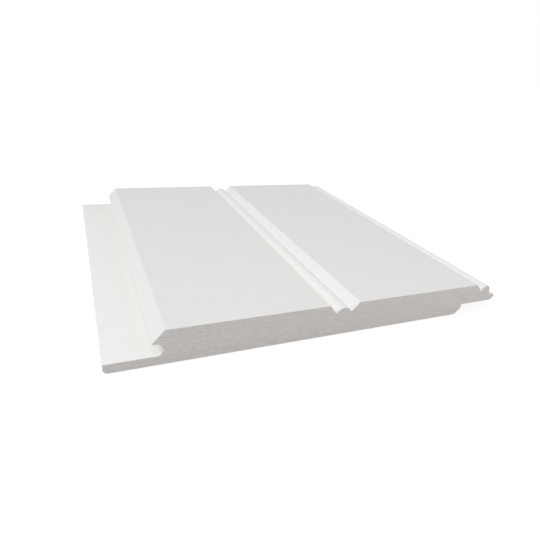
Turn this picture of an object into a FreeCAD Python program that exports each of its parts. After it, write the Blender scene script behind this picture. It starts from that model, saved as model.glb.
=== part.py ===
"""Beaded tongue and groove wall board of cellular PVC, a short length lying face up.

One extruded and moulded piece. Seen from the sawn end, the left edge has a thin nailing flange under
a groove and a bevelled lip. The face has two flat panels with a bead between V cuts, and the right edge
has a second bead over the tongue, with a rebate below it for the next board's flange.

X runs across the board from flange to tongue, Y along it, and Z up from its flat back to its face.
The origin is at the middle of the board's box, on the plane of the back. All sizes are in millimetres.
"""

import FreeCAD
import Part

import math
import os

# The board as a whole. Each laid board covers this width of wall, and the next one starts there.
board_length = 152.4
thickness = 12.7
cover_width = 139.7

# Nailing flange, along the back of the left edge.
flange_reach = 14.6
flange_thickness = 3.5
flange_heel_radius = 1.6

# V cutter. It cuts the walls of the V cuts and the bevel of the lip, at this many degrees to the face.
wall_angle = 48.0

# Lip over the groove. Its bevel falls from the face to a narrow upright land.
lip_depth = 5.0
lip_land = 0.65
groove_depth = 3.33

# V cuts, and the beads that stand between them.
vee_depth = 3.5
centre_bead_height = 1.95
edge_bead_width = 4.5
edge_bead_upright = 0.28

# Tongue, and the rebate under it.
tongue_chamfer = 1.5
rebate_chamfer = 2.5
rebate_heel_radius = 2.0
rebate_shoulder_radius = 0.6

# Play between this board's tongue edge and the flange edge of the next one.
headroom_over_tongue = 0.4
nail_head_room = 0.87
gap_at_tongue_tip = 0.6
gap_at_flange_edge = 0.2
gap_at_lip = 1.0

# Easing of the outer arrises and of the inner corners.
arris_radius = 0.3
root_radius = 0.5

# Heights above the back.
face_z = thickness
valley_z = face_z - vee_depth
groove_roof_z = face_z - lip_depth
lip_land_top_z = groove_roof_z + lip_land
tongue_top_z = groove_roof_z - headroom_over_tongue
tongue_bottom_z = flange_thickness + nail_head_room
edge_bead_radius = edge_bead_width / 2
edge_bead_top_z = valley_z + edge_bead_upright + edge_bead_radius
centre_bead_top_z = valley_z + centre_bead_height

# Widths of the cutter's walls, seen from above.
wall_rise = math.tan(math.radians(wall_angle))
vee_width = vee_depth / wall_rise
bevel_width = (face_z - lip_land_top_z) / wall_rise

# Places across the board, measured from the flange's outer edge.
lip_tip_x = flange_reach
groove_end_x = lip_tip_x + groove_depth
left_panel_start_x = lip_tip_x + bevel_width
edge_bead_right_x = lip_tip_x + cover_width - gap_at_lip
edge_bead_left_x = edge_bead_right_x - edge_bead_width
right_panel_end_x = edge_bead_left_x - vee_width
right_panel_start_x = left_panel_start_x + cover_width / 2
panel_width = right_panel_end_x - right_panel_start_x
left_panel_end_x = left_panel_start_x + panel_width
left_valley_x = left_panel_end_x + vee_width
right_valley_x = right_panel_start_x - vee_width
centre_bead_x = (left_valley_x + right_valley_x) / 2
tongue_tip_x = groove_end_x + cover_width - gap_at_tongue_tip
shoulder_x = cover_width - gap_at_flange_edge

# The groove has a full round end where it is deep enough for one, and the tongue's upper round follows it.
# A thin tongue has a finer tip.
tongue_thickness = tongue_top_z - tongue_bottom_z
groove_radius = min((groove_roof_z - flange_thickness) / 2, groove_depth - arris_radius)
upper_tip_radius = min(0.5 * groove_radius, 0.35 * tongue_thickness)
lower_tip_chamfer = min(tongue_chamfer, 0.55 * tongue_thickness)

SHORTEST_RUN = 1e-6


def corner(x, z, radius=0.0, crown=None):
    """A corner of the section, with the arc that eases it and the crown of a bead that springs from it."""
    return {"point": FreeCAD.Vector(x, 0, z), "radius": radius, "crown": crown}


def flange_edge():
    """Left edge, from the lip's bevel down round the groove and the flange to the back."""
    return [
        corner(left_panel_start_x, face_z, arris_radius),
        corner(lip_tip_x, lip_land_top_z, arris_radius),
        corner(lip_tip_x, groove_roof_z, arris_radius),
        corner(groove_end_x, groove_roof_z, groove_radius),
        corner(groove_end_x, flange_thickness, groove_radius),
        corner(0, flange_thickness, arris_radius),
        corner(0, 0, flange_heel_radius),
    ]


def tongue_edge():
    """Right edge, from the back up the rebate, round the tongue and over the edge bead to its V cut."""
    return [
        corner(shoulder_x - rebate_chamfer, 0, rebate_heel_radius),
        corner(shoulder_x, rebate_chamfer, rebate_shoulder_radius),
        corner(shoulder_x, tongue_bottom_z, root_radius),
        corner(tongue_tip_x - lower_tip_chamfer, tongue_bottom_z),
        corner(tongue_tip_x, tongue_bottom_z + lower_tip_chamfer),
        corner(tongue_tip_x, tongue_top_z, upper_tip_radius),
        corner(edge_bead_right_x, tongue_top_z, root_radius),
        corner(edge_bead_right_x, edge_bead_top_z, edge_bead_radius),
        corner(edge_bead_left_x, edge_bead_top_z, edge_bead_radius),
        corner(edge_bead_left_x, valley_z),
        corner(right_panel_end_x, face_z, arris_radius),
    ]


def centre_bead():
    """Two V cuts with a low round bead between them, from the right panel to the left one."""
    bead_crown = FreeCAD.Vector(centre_bead_x, 0, centre_bead_top_z)
    return [
        corner(right_panel_start_x, face_z, arris_radius),
        corner(right_valley_x, valley_z, crown=bead_crown),
        corner(left_valley_x, valley_z),
        corner(left_panel_end_x, face_z, arris_radius),
    ]


def ease(before, this, after):
    """Where the outline enters a corner, the middle of the arc that eases it, and where it leaves."""
    point = this["point"]
    radius = this["radius"]
    towards_before = (before["point"] - point).normalize()
    towards_after = (after["point"] - point).normalize()
    half_angle = towards_before.getAngle(towards_after) / 2
    setback = radius / math.tan(half_angle)
    inwards = (towards_before + towards_after).normalize()
    arc_middle = point + inwards * (radius / math.sin(half_angle) - radius)
    return point + towards_before * setback, arc_middle, point + towards_after * setback


def section_wire(corners):
    """Closed wire round the corners, of straight runs, eased corners and the centre bead's arc."""
    edges = []
    count = len(corners)
    eased = [ease(corners[i - 1], corners[i], corners[(i + 1) % count]) for i in range(count)]
    for index, (enter, arc_middle, leave) in enumerate(eased):
        next_enter = eased[(index + 1) % count][0]
        crown = corners[index]["crown"]
        if corners[index]["radius"]:
            edges.append(Part.Arc(enter, arc_middle, leave).toShape())
        if crown:
            edges.append(Part.Arc(leave, crown, next_enter).toShape())
        elif leave.distanceToPoint(next_enter) > SHORTEST_RUN:
            edges.append(Part.LineSegment(leave, next_enter).toShape())
    return Part.Wire(edges)


def beaded_board():
    """The whole board: its section, run along the length and centred on the origin."""
    section = Part.Face(section_wire(flange_edge() + tongue_edge() + centre_bead()))
    board = section.extrude(FreeCAD.Vector(0, board_length, 0))
    board.translate(FreeCAD.Vector(-tongue_tip_x / 2, -board_length / 2, 0))
    return board


os.makedirs("parts", exist_ok=True)
beaded_board().exportStep("parts/beaded_board.step")
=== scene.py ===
import math

import bmesh
import bpy
from mathutils import Euler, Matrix, Vector, geometry, kdtree, noise


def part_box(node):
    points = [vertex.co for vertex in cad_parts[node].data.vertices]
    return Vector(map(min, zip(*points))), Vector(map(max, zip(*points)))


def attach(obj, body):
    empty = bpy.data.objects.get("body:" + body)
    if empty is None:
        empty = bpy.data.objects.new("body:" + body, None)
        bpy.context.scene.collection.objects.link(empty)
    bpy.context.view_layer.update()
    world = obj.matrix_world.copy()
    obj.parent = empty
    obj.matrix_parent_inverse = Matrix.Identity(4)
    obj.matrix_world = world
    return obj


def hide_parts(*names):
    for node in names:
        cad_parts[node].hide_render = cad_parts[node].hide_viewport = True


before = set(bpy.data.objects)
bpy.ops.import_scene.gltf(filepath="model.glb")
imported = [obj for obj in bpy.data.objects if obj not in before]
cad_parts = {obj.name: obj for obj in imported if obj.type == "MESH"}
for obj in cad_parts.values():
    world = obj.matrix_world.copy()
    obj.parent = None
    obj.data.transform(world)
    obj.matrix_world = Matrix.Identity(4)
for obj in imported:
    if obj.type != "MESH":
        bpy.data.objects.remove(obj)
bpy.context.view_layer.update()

# The board is one length of cellular PVC, foamed and extruded as a sheet with a closed skin.
# A moulder then cuts the V cuts, beads, groove, tongue and flange, and a saw cuts it to length.
# Its section is the outline of the CAD board's end, with its facets turned back into rounds.
MILLIMETRE = 0.001
board_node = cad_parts["beaded_board"]
board_low, board_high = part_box("beaded_board")
board_width, board_length, board_thickness = board_high - board_low


def end_outline(node):
    """The outline of the node's near end, in order and anticlockwise, as points across and up."""
    solid = bmesh.new()
    solid.from_mesh(node.data)
    bmesh.ops.remove_doubles(solid, verts=solid.verts, dist=0.001 * MILLIMETRE)
    end_faces = {face for face in solid.faces if face.normal.y < -0.99}
    rim = [edge for edge in solid.edges if sum(face in end_faces for face in edge.link_faces) == 1]
    beside = {}
    for edge in rim:
        for corner in edge.verts:
            beside.setdefault(corner, []).append(edge.other_vert(corner))
    first = min(beside, key=lambda corner: tuple(corner.co))
    last, corner = first, min(beside[first], key=lambda other: other.co.z)
    points = [first.co.xz]
    while corner != first:
        points.append(corner.co.xz)
        last, corner = corner, next(other for other in beside[corner] if other != last)
    solid.free()
    return points


def loop_edges(points):
    """The edges of a closed loop through the points, as pairs of their numbers."""
    return [(index, (index + 1) % len(points)) for index in range(len(points))]


outline = end_outline(board_node)
section = bpy.data.meshes.new("board_section")
section.from_pydata([(point.x, point.y, 0) for point in outline], loop_edges(outline), [])

# A shallow turn belongs to a round that the CAD mesh shows as facets.
# A sharp one is a corner left by a cutter.
facet_turn = math.radians(32)
round_easing = 8 * MILLIMETRE
corner_easing = 0.18 * MILLIMETRE
easing = section.attributes.new("easing", "FLOAT", "POINT")
for index, point in enumerate(outline):
    before = point - outline[index - 1]
    after = outline[(index + 1) % len(outline)] - point
    easing.data[index].value = round_easing if before.angle(after) < facet_turn else corner_easing


class Socket:
    """One output of a node. Arithmetic on it adds Math nodes to its tree, and node() adds any other."""

    def __init__(self, tree, socket=None):
        self.tree = tree
        self.socket = socket

    def node(self, kind, settings=None, sockets=None, output=0):
        """A new node's output. A list gives several links to an input that joins them."""
        made = self.tree.nodes.new(kind)
        for name, value in (settings or {}).items():
            setattr(made, name, value)
        for key, value in (sockets or {}).items():
            entry = made.inputs[key]
            for one in value if isinstance(value, list) else [value]:
                if isinstance(one, Socket):
                    self.tree.links.new(one.socket, entry)
                else:
                    entry.default_value = one
        return Socket(self.tree, made.outputs[output] if made.outputs else None)

    def twin(self, output):
        """Another output of the same node."""
        return Socket(self.tree, self.socket.node.outputs[output])

    def part(self, axis):
        """The X, Y or Z of a vector."""
        return self.node("ShaderNodeSeparateXYZ", sockets={0: self}, output=axis)

    def vector(self, operation, first, second):
        return self.node("ShaderNodeVectorMath", {"operation": operation}, {0: first, 1: second})

    def maths(self, operation, first, second=0.0):
        return self.node("ShaderNodeMath", {"operation": operation}, {0: first, 1: second})

    def __add__(self, other):
        return self.maths("ADD", self, other)

    def __sub__(self, other):
        return self.maths("SUBTRACT", self, other)

    def __rsub__(self, other):
        return self.maths("SUBTRACT", other, self)

    def __mul__(self, other):
        return self.maths("MULTIPLY", self, other)

    def __truediv__(self, other):
        return self.maths("DIVIDE", self, other)

    def __gt__(self, other):
        return self.maths("GREATER_THAN", self, other)

    def __abs__(self):
        return self.maths("ABSOLUTE", self)

    __radd__ = __add__
    __rmul__ = __mul__


# It has three finishes: the closed skin of the extruded sheet, the foam that the moulder cut,
# and the sawn ends.
def finish(name, colour, roughness):
    """A new PVC material. Returns it with its shader node and a socket on its Object coordinates."""
    material = bpy.data.materials.new(name)
    material.use_nodes = True
    shader = material.node_tree.nodes["Principled BSDF"]
    shader.inputs["Base Color"].default_value = (*colour, 1)
    shader.inputs["Roughness"].default_value = roughness
    shader.inputs["IOR"].default_value = 1.5
    shader.inputs["Specular IOR Level"].default_value = 0.06
    place = Socket(material.node_tree).node("ShaderNodeTexCoord", output="Object")
    return material, shader, place


def feed(shader, name, value):
    """Links a value to one of the shader's inputs."""
    shader.id_data.links.new(value.socket, shader.inputs[name])


def stretched_noise(place, sizes, detail=2.0):
    """Noise about 0.5, with features of the given size in millimetres along X, Y and Z."""
    spot = place.vector("DIVIDE", place, Vector(sizes) * MILLIMETRE)
    return place.node("ShaderNodeTexNoise", sockets={"Vector": spot, "Scale": 1.0, "Detail": detail})


def foam_cells(place, cells_per_millimetre):
    """The cut cells of the foam, from 0 in the middle of each."""
    sockets = {"Vector": place, "Scale": cells_per_millimetre / MILLIMETRE}
    return place.node("ShaderNodeTexVoronoi", sockets=sockets, output="Distance")


def tinted(place, dark, light, amount):
    """A colour between two, by an amount from 0 to 1."""
    sockets = {0: amount, 6: (*dark, 1), 7: (*light, 1)}
    return place.node("ShaderNodeMix", {"data_type": "RGBA"}, sockets, output=2)


def relief(place, height, depth):
    """A normal that shows a height from 0 to 1 as relief of the given depth in metres."""
    sockets = {"Strength": 1.0, "Distance": depth, "Height": height}
    return place.node("ShaderNodeBump", sockets=sockets)


# The skin is satin, faintly clouded, with a very fine orange peel.
skin, shader, place = finish("extruded_skin", (0.826, 0.826, 0.821), 0.5)
cloud = stretched_noise(place, (30, 50, 30))
mottle = stretched_noise(place, (4, 6, 4), 3.0)
peel = stretched_noise(place, (0.9, 1.4, 0.9))
clouding = cloud * 0.4 + mottle * 0.6
feed(shader, "Base Color", tinted(place, (0.804, 0.804, 0.799), (0.848, 0.848, 0.843), clouding))
feed(shader, "Roughness", 0.42 + cloud * 0.16)
feed(shader, "Normal", relief(place, peel, 0.01 * MILLIMETRE))

# The milled foam shows its cells and the marks of the knives along the board.
# It is painted whiter low down, in the groove and on the flange: painted light that lifts the shade
# under the lip.
milled, shader, place = finish("milled_foam", (0.91, 0.91, 0.89), 0.65)
plain_above = 9 * MILLIMETRE
whitest_below = 4 * MILLIMETRE
heights = {"From Min": plain_above, "From Max": whitest_below}
# Painted light: the foam's colour grows whiter from 9 mm down to 4 mm height, where the groove and
# flange lie.
painted_low_light = place.node("ShaderNodeMapRange", sockets={"Value": place.part("Z"), **heights})
grain = stretched_noise(place, (0.6, 1.4, 0.6), 3.0)
grain_and_painted_light = grain * 0.6 + painted_low_light * 0.4
knife_pitch = 1.4 * MILLIMETRE
drift = stretched_noise(place, (20, 20, 20))
knife_turns = place.part("Y") * (2 * math.pi / knife_pitch) + drift * 3.0
knife_marks = place.maths("SINE", knife_turns) * 0.5 + 0.5
cut_face = knife_marks * 0.35 + foam_cells(place, 4.2) * 0.4 + grain * 0.25
feed(shader, "Base Color", tinted(place, (0.862, 0.862, 0.842), (0.95, 0.95, 0.93), grain_and_painted_light))
feed(shader, "Roughness", 0.58 + grain * 0.14)
feed(shader, "Normal", relief(place, cut_face, 0.02 * MILLIMETRE))

# The sawn ends are torn in short strokes across the board, and most of all at the flange. Their torn
# hollows are painted darker, as painted shade, and their warm grey is partly the cut foam's own cream
# and partly painted warm bounce light.
sawn, shader, place = finish("sawn_foam", (0.822, 0.786, 0.763), 0.8)
tear_sizes = (2.1, 2.1, 0.42)
tear = stretched_noise(place, tear_sizes, 1.0)
saw_marks = stretched_noise(place, (6, 6, 0.6))
strokes = tear * 0.65 + saw_marks * 0.2 + foam_cells(place, 3.6) * 0.25
tearing = 1.0 - place.part("X") * 5.0
torn_relief_and_pit_shade = (strokes - 0.5) * tearing + 0.5
# Painted shade: the torn relief also darkens the colour where the end is torn deeper.
feed(shader, "Base Color", tinted(place, (0.648, 0.614, 0.593), (0.996, 0.958, 0.933), torn_relief_and_pit_shade))
feed(shader, "Normal", relief(place, torn_relief_and_pit_shade, 0.12 * MILLIMETRE))

# The section lies flat, is run out along Z and is then turned, so that the board lies along Y.
run = bpy.data.node_groups.new("board_run", "GeometryNodeTree")
board_sizes = {
    "Length": board_length,
    "Face spacing": 0.9 * MILLIMETRE,
    "End arris": 0.16 * MILLIMETRE,
}
run.interface.new_socket("Section", in_out="INPUT", socket_type="NodeSocketGeometry")
for name in board_sizes:
    run.interface.new_socket(name, in_out="INPUT", socket_type="NodeSocketFloat")
run.interface.new_socket("Board", in_out="OUTPUT", socket_type="NodeSocketGeometry")

tree = Socket(run)
given = tree.node("NodeGroupInput", output="Section")
length = given.twin("Length")
end_arris = given.twin("End arris")
position = tree.node("GeometryNodeInputPosition")

# Corners and rounds of the section, and points along its straight runs.
eased = tree.node("GeometryNodeInputNamedAttribute", {"data_type": "FLOAT"}, {"Name": "easing"})
curve = tree.node("GeometryNodeMeshToCurve", sockets={"Mesh": given})
curve = tree.node(
    "GeometryNodeFilletCurve",
    {"mode": "POLY"},
    {"Curve": curve, "Count": 4, "Radius": eased, "Limit Radius": True},
)
rounded = tree.node("GeometryNodeCurveToMesh", sockets={"Curve": curve})
rounded = tree.node(
    "GeometryNodeMergeByDistance", sockets={"Geometry": rounded, "Distance": 0.01 * MILLIMETRE}
)
curve = tree.node("GeometryNodeMeshToCurve", sockets={"Mesh": rounded})
next_point = tree.node("GeometryNodeOffsetPointInCurve", sockets={"Offset": 1}, output="Point Index")
next_position = tree.node(
    "GeometryNodeFieldAtIndex", {"data_type": "FLOAT_VECTOR"}, {"Index": next_point, "Value": position}
)
gap = tree.node(
    "ShaderNodeVectorMath", {"operation": "DISTANCE"}, {0: position, 1: next_position}, output="Value"
)
cuts = tree.maths("FLOOR", gap / given.twin("Face spacing"))
curve = tree.node("GeometryNodeSubdivideCurve", sockets={"Curve": curve, "Cuts": cuts})
outwards = tree.vector("CROSS_PRODUCT", tree.node("GeometryNodeInputTangent"), (0, 0, 1))
curve = tree.node(
    "GeometryNodeStoreNamedAttribute",
    {"data_type": "FLOAT_VECTOR", "domain": "POINT"},
    {"Geometry": curve, "Name": "outwards", "Value": outwards},
)

# It is run out in three stages: one end's arris, the length of the board and the other end's arris.
board = tree.node("GeometryNodeCurveToMesh", sockets={"Curve": curve})
half_length = length / 2
to_start = tree.node("ShaderNodeCombineXYZ", sockets={"Z": half_length * -1})
board = tree.node("GeometryNodeSetPosition", sockets={"Geometry": board, "Offset": to_start})
leading = True
for stage in (end_arris, length - end_arris * 2, end_arris):
    onwards = tree.node("ShaderNodeCombineXYZ", sockets={"Z": stage})
    board = tree.node(
        "GeometryNodeExtrudeMesh",
        {"mode": "EDGES"},
        {"Mesh": board, "Selection": leading, "Offset": onwards, "Offset Scale": 1.0},
    )
    leading = board.twin("Top")
board = tree.node("GeometryNodeFlipFaces", sockets={"Mesh": board})

# The saw breaks the arris unevenly, so the rim of each end stands in by an amount that wanders.
breaks_per_millimetre = 0.42
wander = tree.node(
    "ShaderNodeTexNoise",
    sockets={"Vector": position, "Scale": breaks_per_millimetre / MILLIMETRE, "Detail": 3.0},
)
breaking = end_arris * (wander * 2.2 - 0.35)
kept_outwards = tree.node(
    "GeometryNodeInputNamedAttribute", {"data_type": "FLOAT_VECTOR"}, {"Name": "outwards"}
)
inset = tree.node(
    "ShaderNodeVectorMath", {"operation": "SCALE"}, {"Vector": kept_outwards, "Scale": breaking * -1}
)
along_run = position.part("Z")
at_rim = abs(along_run) > half_length - end_arris / 2
board = tree.node(
    "GeometryNodeSetPosition", sockets={"Geometry": board, "Selection": at_rim, "Offset": inset}
)

# Each end is closed by one flat face inside its rim.
open_edge = tree.maths("COMPARE", tree.node("GeometryNodeInputMeshEdgeNeighbors"), 1)
parts = [board]
for end in (-1, 1):
    this_rim = open_edge * (along_run * end > 0)
    rim_curve = tree.node("GeometryNodeMeshToCurve", sockets={"Mesh": board, "Selection": this_rim})
    cap = tree.node("GeometryNodeFillCurve", {"mode": "NGONS"}, {"Curve": rim_curve})
    if end < 0:
        cap = tree.node("GeometryNodeFlipFaces", sockets={"Mesh": cap})
    to_end = tree.node("ShaderNodeCombineXYZ", sockets={"Z": half_length * end})
    parts.append(tree.node("GeometryNodeSetPosition", sockets={"Geometry": cap, "Offset": to_end}))
board = tree.node("GeometryNodeJoinGeometry", sockets={"Geometry": parts})
board = tree.node(
    "GeometryNodeMergeByDistance", sockets={"Geometry": board, "Distance": 0.0005 * MILLIMETRE}
)
board = tree.node(
    "GeometryNodeTransform", sockets={"Geometry": board, "Rotation": (math.radians(90), 0, 0)}
)
for name in ("outwards", "easing"):
    board = tree.node("GeometryNodeRemoveAttribute", sockets={"Geometry": board, "Name": name})

# Rounds are smooth. Corners stay crisp, and so do the edges across the board, round the broken arris.
board = tree.node(
    "GeometryNodeSetShadeSmooth", {"domain": "FACE"}, {"Geometry": board, "Shade Smooth": True}
)
corner_turn = math.radians(30)
turn = tree.node("GeometryNodeInputMeshEdgeAngle", output="Unsigned Angle")
edge_start = tree.node("GeometryNodeInputMeshEdgeVertices", output="Position 1")
edge_run = tree.vector("SUBTRACT", edge_start.twin("Position 2"), edge_start)
crisp = tree.maths("MAXIMUM", turn > corner_turn, end_arris / 2 > abs(edge_run.part("Y")))
board = tree.node(
    "GeometryNodeSetShadeSmooth",
    {"domain": "EDGE"},
    {"Geometry": board, "Selection": crisp, "Shade Smooth": False},
)

# The skin is left on the flat face and back, and the saw made what faces along the board.
facing = tree.node("GeometryNodeInputNormal")
middle_height = board_thickness / 2
from_middle = abs(position.part("Z") - middle_height)
is_skin = (abs(facing.part("Z")) > 0.999) * (from_middle > middle_height - 0.01 * MILLIMETRE)
is_end = abs(facing.part("Y")) > 0.9
board = tree.node("GeometryNodeRealizeInstances", sockets={"Geometry": board})
for material, where in ((milled, True), (skin, is_skin), (sawn, is_end)):
    board = tree.node(
        "GeometryNodeSetMaterial", sockets={"Geometry": board, "Selection": where, "Material": material}
    )
run.links.new(board.socket, run.nodes.new("NodeGroupOutput").inputs["Board"])

section_object = bpy.data.objects.new("board_section", section)
bpy.context.scene.collection.objects.link(section_object)
modifier = section_object.modifiers.new("board_run", "NODES")
modifier.node_group = run
for item in run.interface.items_tree:
    if item.name in board_sizes:
        modifier[item.identifier] = board_sizes[item.name]
evaluated = section_object.evaluated_get(bpy.context.evaluated_depsgraph_get())
board_mesh = bpy.data.meshes.new_from_object(evaluated)
bpy.data.objects.remove(section_object)
board_mesh.name = "beaded_board_finish"

# The tree puts its materials after an empty slot.
board_mesh.materials.pop(index=0)

# The saw tears the foam along each end, so the flat end becomes fine triangles that lie unevenly deep.
# The tears fade out towards the rim.
tear_across, tear_along, tear_up = Vector(tear_sizes) * MILLIMETRE
tear_depth = 0.09 * MILLIMETRE
tear_fade = 0.4 * MILLIMETRE
step_across = 0.5 * MILLIMETRE
step_up = 0.2 * MILLIMETRE


def points_inside(rim_places):
    """Points in staggered rows over an end, each with its distance from the end's rim."""
    rim_spots = []
    for place, following in zip(rim_places, rim_places[1:] + rim_places[:1]):
        pieces = math.ceil((following - place).length / step_up)
        rim_spots += [place.lerp(following, piece / pieces) for piece in range(pieces)]
    nearest = kdtree.KDTree(len(rim_spots))
    for index, spot in enumerate(rim_spots):
        nearest.insert(spot.to_3d(), index)
    nearest.balance()
    for row in range(int(board_thickness / step_up)):
        for column in range(int(board_width / step_across)):
            across = board_low.x + (column + row % 2 / 2) * step_across
            point = Vector((across, board_low.z + (row + 0.5) * step_up))
            from_rim = nearest.find(point.to_3d())[2]
            if from_rim > step_up / 2:
                yield point, from_rim


def tear_end(solid, end_face):
    """Puts torn triangles in the place of one flat end of the solid."""
    rim = list(end_face.verts)
    rim_places = [corner.co.xz for corner in rim]
    inside = list(points_inside(rim_places))
    places = rim_places + [point for point, from_rim in inside]
    only_within = 1
    merging = 0.0001 * MILLIMETRE
    found = geometry.delaunay_2d_cdt(places, loop_edges(rim), [], only_within, merging)
    triangles, sources = found[2], found[3]
    outwards = end_face.normal.y
    end_place = rim[0].co.y
    corners = {}
    for index in {index for triangle in triangles for index in triangle}:
        source = sources[index][0]
        if source < len(rim):
            corners[index] = rim[source]
            continue
        point, from_rim = inside[source - len(rim)]
        spot = Vector((point.x / tear_across, end_place / tear_along, point.y / tear_up))
        depth = tear_depth * (noise.noise(spot) + 1) / 2 * min(1, from_rim / tear_fade)
        corners[index] = solid.verts.new((point.x, end_place - outwards * depth, point.y))
    for triangle in triangles:
        turned = triangle if outwards < 0 else triangle[::-1]
        face = solid.faces.new([corners[index] for index in turned])
        face.material_index = end_face.material_index
        face.smooth = True
    bmesh.ops.delete(solid, geom=[end_face], context="FACES_ONLY")


solid = bmesh.new()
solid.from_mesh(board_mesh)
flat_ends = [face for face in solid.faces if len(face.verts) > 4]
for end_face in flat_ends:
    tear_end(solid, end_face)
solid.to_mesh(board_mesh)
solid.free()
board_piece = bpy.data.objects.new("beaded_board_finish", board_mesh)
bpy.context.scene.collection.objects.link(board_piece)

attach(board_piece, "root")
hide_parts("beaded_board")

# The floor is a sheet of white paper that lies flat, just under the board.
# The camera sees it as white, and it keeps the board's soft shadow and throws some light back up.
floor_half = 4.0
floor_height = -0.2 * MILLIMETRE
floor_corners = ((-1, -1), (1, -1), (1, 1), (-1, 1))
floor_mesh = bpy.data.meshes.new("floor")
floor_mesh.from_pydata(
    [(x * floor_half, y * floor_half, floor_height) for x, y in floor_corners], [], [(0, 1, 2, 3)]
)
floor = bpy.data.objects.new("floor", floor_mesh)
bpy.context.scene.collection.objects.link(floor)


def seen(tree):
    """1 for the rays that show the background itself, and 0 for those that only carry its light."""
    camera_ray = tree.node("ShaderNodeLightPath", output="Is Camera Ray")
    shown = tree.maths("MAXIMUM", camera_ray, camera_ray.twin("Is Glossy Ray"))
    return tree.maths("MAXIMUM", shown, camera_ray.twin("Is Transmission Ray"))


def matt(tree, grey):
    """A matt surface that gives back this share of the light."""
    return tree.node("ShaderNodeBsdfDiffuse", sockets={"Color": (grey, grey, grey, 1)})


bounce_share = 0.55
lit_share = 0.25
glow_share = 0.86
paper = bpy.data.materials.new("white_paper")
paper.use_nodes = True
paper.node_tree.nodes.clear()
paper_tree = Socket(paper.node_tree)
glow = paper_tree.node("ShaderNodeEmission", sockets={"Color": (1, 1, 1, 1), "Strength": glow_share})
lit = matt(paper_tree, lit_share)
white = paper_tree.node("ShaderNodeAddShader", sockets={0: lit, 1: glow})
bounce = matt(paper_tree, bounce_share)
shown_paper = paper_tree.node("ShaderNodeMixShader", sockets={0: seen(paper_tree), 1: bounce, 2: white})
paper_tree.node("ShaderNodeOutputMaterial", sockets={"Surface": shown_paper})
floor_mesh.materials.append(paper)

# Soft studio light: a pale room, a wide light from the left and a weaker one from the right,
# a lamp over the near end and a small card low on the right.
room_light = 0.435
world = bpy.data.worlds.new("studio")
bpy.context.scene.world = world
world.use_nodes = True
background = world.node_tree.nodes["Background"]
background.inputs["Color"].default_value = (1, 1, 1, 1)
feed(background, "Strength", room_light + seen(Socket(world.node_tree)) * (1 - room_light))
near_half = Vector((0, -0.08, 0))


def add_lamp(lamp, azimuth, elevation, distance):
    """Stands a lamp round the board's near half, turned to it. Azimuth 90 is behind, 180 is left."""
    lamp_object = bpy.data.objects.new(lamp.name, lamp)
    turn = Euler((math.radians(90 - elevation), 0, math.radians(azimuth + 90)))
    lamp_object.rotation_euler = turn
    lamp_object.location = near_half + turn.to_matrix() @ Vector((0, 0, distance))
    bpy.context.scene.collection.objects.link(lamp_object)


window_spread = math.radians(40)
window_distance = 2.0
for name, azimuth, elevation, level in (("left_window", 162, 47, 0.34), ("right_window", 0, 40, 0.07)):
    window = bpy.data.lights.new(name, "SUN")
    window.angle = window_spread
    window.energy = level * math.pi
    add_lamp(window, azimuth, elevation, window_distance)
for name, azimuth, elevation, distance, size, power in (
    ("overhead", 215, 64, 0.33, 0.2, 0.22),
    ("card", 318, 11, 0.30, 0.12, 0.1),
):
    panel = bpy.data.lights.new(name, "AREA")
    panel.size = size
    panel.energy = power
    add_lamp(panel, azimuth, elevation, distance)

# The camera stands where the photograph was taken from. Its lens, place and turn come from
# fitting a pinhole camera to the board's corners and edges. Colours are shown as they are written.
camera = bpy.data.cameras.new("camera")
camera.lens = 29.5043
camera.sensor_width = 36
camera.clip_start = 1 * MILLIMETRE
camera_object = bpy.data.objects.new("camera", camera)
camera_object.location = (-0.0801303, -0.1891455, 0.088816)
camera_object.rotation_euler = [math.radians(angle) for angle in (64.381, -5.0677, -22.6379)]
bpy.context.scene.collection.objects.link(camera_object)
bpy.context.scene.camera = camera_object
bpy.context.scene.view_settings.view_transform = "Standard"
